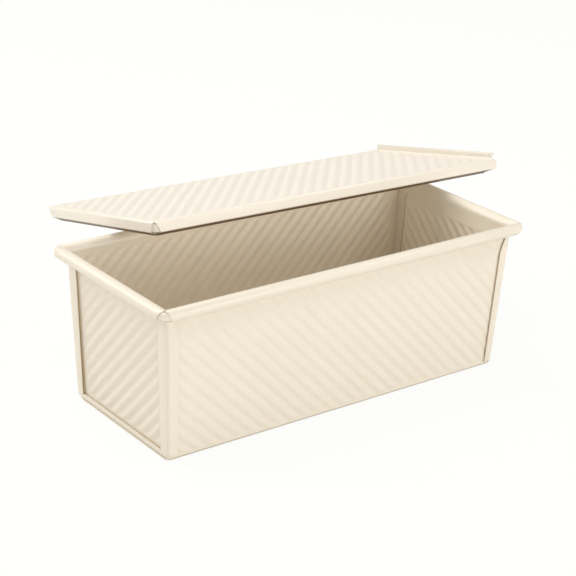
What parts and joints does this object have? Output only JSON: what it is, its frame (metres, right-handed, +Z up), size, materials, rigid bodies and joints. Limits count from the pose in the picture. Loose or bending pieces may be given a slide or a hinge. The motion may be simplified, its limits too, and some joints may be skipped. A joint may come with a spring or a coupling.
{
  "type": "pullman loaf pan",
  "caption": "Long rectangular loaf pan of corrugated sheet metal with tapered walls, a rolled rim, and a slide-on lid held tilted above it.",
  "frame": {"origin": "middle of the underside of the pan's bottom", "axes": "+X along the pan towards the lid's pull lip, +Y across the pan away from the picture's camera, +Z up"},
  "size_m": [0.3333, 0.2084, 0.1268],
  "materials": {
    "pan_coating": "cream non-stick coating, satin",
    "wire_coating": "cream non-stick coating, satin",
    "lid_coating": "cream non-stick coating, satin"
  },
  "bodies": {
    "pan": {"body_trough": "pan_coating", "end_cap_left": "pan_coating", "end_cap_right": "pan_coating", "rim_wire": "wire_coating"},
    "lid": {"lid": "lid_coating"}
  },
  "joints": [
    {"name": "lid_lift", "type": "slide", "parent": "pan", "child": "lid", "axis": [0, 0, 1], "range_m": [0, 0.15]}
  ]
}
